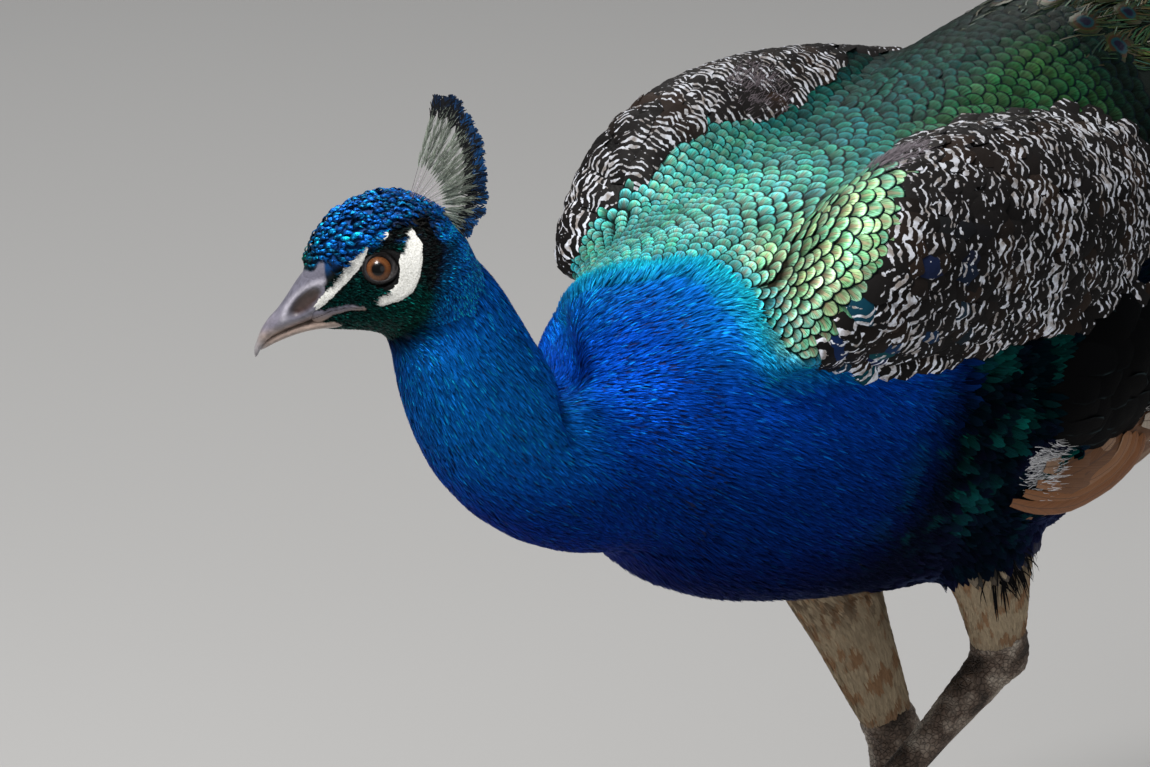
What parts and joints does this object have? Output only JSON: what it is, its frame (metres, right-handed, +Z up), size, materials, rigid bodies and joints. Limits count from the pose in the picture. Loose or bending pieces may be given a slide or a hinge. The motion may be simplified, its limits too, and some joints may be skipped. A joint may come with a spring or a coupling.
{
  "type": "indian peacock model",
  "caption": "Still, life-size peacock in a slow walk: head lowered and turned aside, folded wings, one foot lifted, long train laid down to the floor behind.",
  "frame": {"origin": "middle of the bird's box in plan, on the floor it stands on", "axes": "+X from the head towards the end of the train, +Y to the bird's right, +Z up"},
  "size_m": [1.8262, 0.332, 0.5483],
  "materials": {
    "head_feather": "glossy metallic blue-green plumage",
    "neck_feather": "metallic cobalt blue plumage",
    "back_feather": "metallic golden green scale-like plumage",
    "crest_feather": "bare white shafts with blue tips",
    "bill_horn": "grey horn, satin",
    "eye_iris": "dark brown, wet gloss",
    "tail_feather": "matt grey-brown plumage",
    "train_feather": "metallic bronze green plumage with eye spots",
    "wing_barred": "matt black and off-white barred plumage",
    "wing_dark": "black plumage with a faint green sheen",
    "wing_rufous": "matt chestnut plumage",
    "thigh_feather": "soft buff down",
    "leg_scale": "grey-brown scales, matt",
    "claw_horn": "dark horn, satin"
  },
  "bodies": {
    "root": {"head": "head_feather", "neck_upper": "neck_feather", "neck_lower": "neck_feather", "breast": "neck_feather", "trunk": "back_feather", "rump": "back_feather", "crest": "crest_feather", "bill_upper": "bill_horn", "bill_lower": "bill_horn", "eye_left": "eye_iris", "eye_right": "eye_iris", "tail": "tail_feather", "train_base": "train_feather", "train_upper": "train_feather", "train_lower": "train_feather", "train_end": "train_feather", "wing_coverts_left": "wing_barred", "wing_secondaries_left": "wing_dark", "wing_primaries_left": "wing_rufous", "thigh_left": "thigh_feather", "tarsus_left": "leg_scale", "spur_left": "claw_horn", "toe_inner_left": "leg_scale", "claw_inner_left": "claw_horn", "toe_middle_left": "leg_scale", "claw_middle_left": "claw_horn", "toe_outer_left": "leg_scale", "claw_outer_left": "claw_horn", "toe_hind_left": "leg_scale", "claw_hind_left": "claw_horn", "wing_coverts_right": "wing_barred", "wing_secondaries_right": "wing_dark", "wing_primaries_right": "wing_rufous", "thigh_right": "thigh_feather", "tarsus_right": "leg_scale", "spur_right": "claw_horn", "toe_inner_right": "leg_scale", "claw_inner_right": "claw_horn", "toe_middle_right": "leg_scale", "claw_middle_right": "claw_horn", "toe_outer_right": "leg_scale", "claw_outer_right": "claw_horn", "toe_hind_right": "leg_scale", "claw_hind_right": "claw_horn"}
  },
  "joints": []
}
